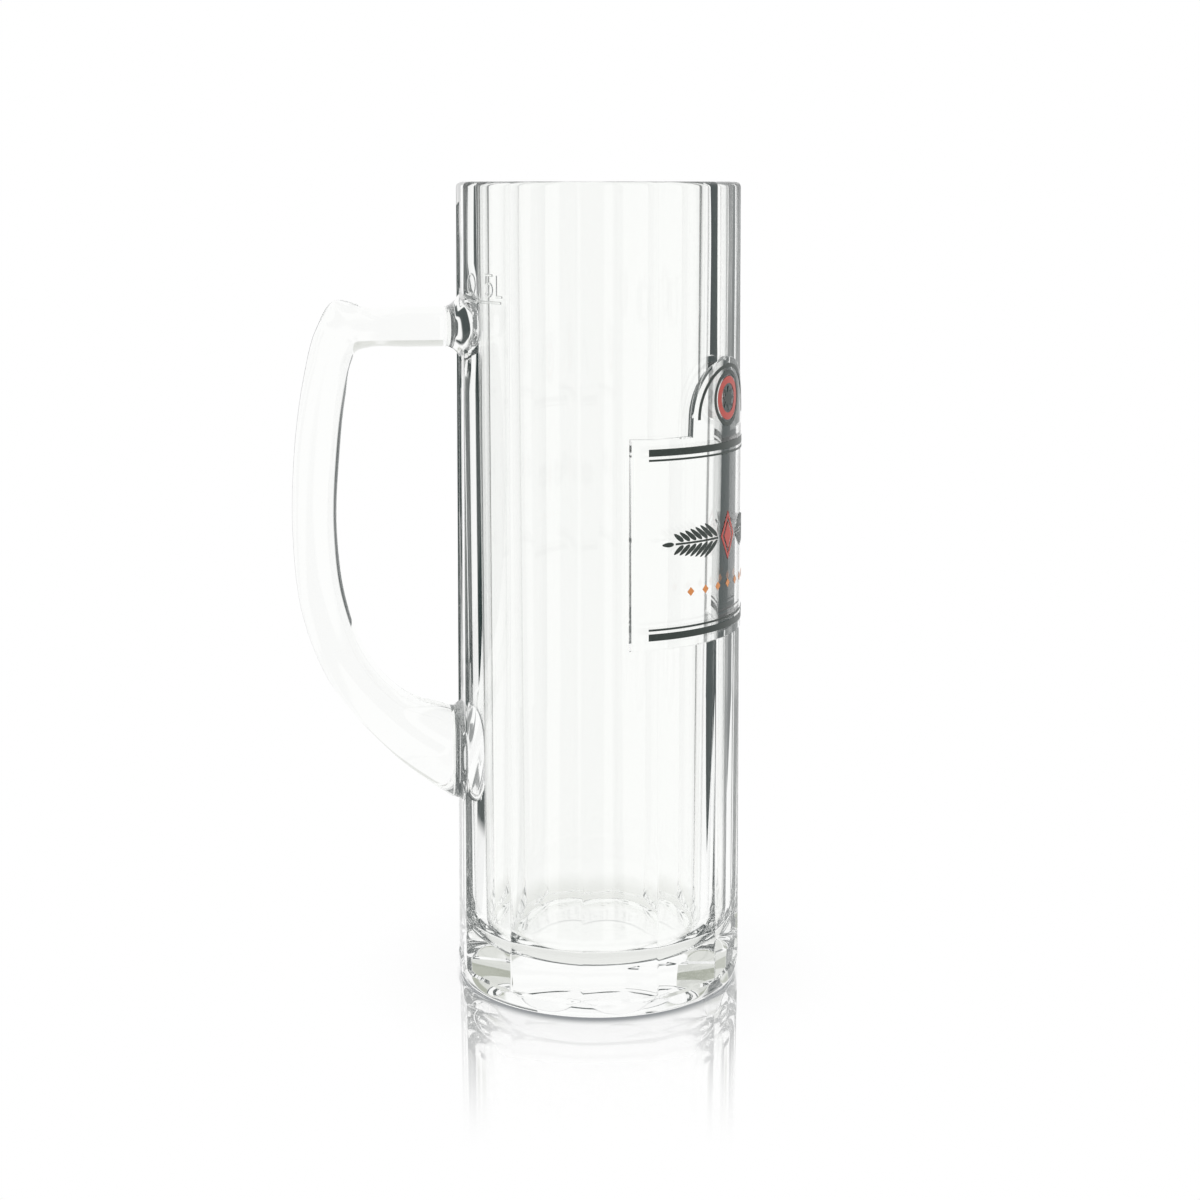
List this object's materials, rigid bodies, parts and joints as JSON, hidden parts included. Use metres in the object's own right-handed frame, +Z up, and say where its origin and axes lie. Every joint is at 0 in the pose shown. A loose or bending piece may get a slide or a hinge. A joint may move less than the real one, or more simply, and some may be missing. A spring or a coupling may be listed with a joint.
{
  "type": "beer mug",
  "caption": "Tall straight-sided beer mug of clear pressed glass with flat panels, a thick base, a glass side handle and a printed label field.",
  "frame": {"origin": "centre of the underside, on the axis of the round inside", "axes": "+Z up along the vessel's axis, -X towards the handle, the handle's middle plane is XZ"},
  "size_m": [0.1136, 0.0722, 0.204],
  "materials": {
    "vessel_glass": "clear pressed glass, fire polished",
    "handle_glass": "clear pressed glass, fire polished",
    "print_dark_green": "fired enamel print, near-black green",
    "print_red": "fired enamel print, red",
    "print_amber": "fired enamel print, amber",
    "fill_mark": "frosted mark on the glass"
  },
  "bodies": {
    "root": {"vessel": "vessel_glass", "handle": "handle_glass", "upper_wide_rule": "print_dark_green", "upper_fine_rule": "print_dark_green", "lower_fine_rule": "print_dark_green", "lower_wide_rule": "print_dark_green", "arch_rule": "print_dark_green", "medallion_ring": "print_dark_green", "medallion_band": "print_red", "medallion_star": "print_dark_green", "left_ear": "print_dark_green", "right_ear": "print_dark_green", "centre_lozenge": "print_red", "bead_1": "print_amber", "bead_2": "print_amber", "bead_3": "print_amber", "bead_4": "print_amber", "bead_5": "print_amber", "bead_6": "print_amber", "bead_7": "print_amber", "fill_line": "fill_mark", "figure_zero": "fill_mark", "figure_comma": "fill_mark", "figure_five": "fill_mark", "letter_l": "fill_mark"}
  },
  "joints": []
}
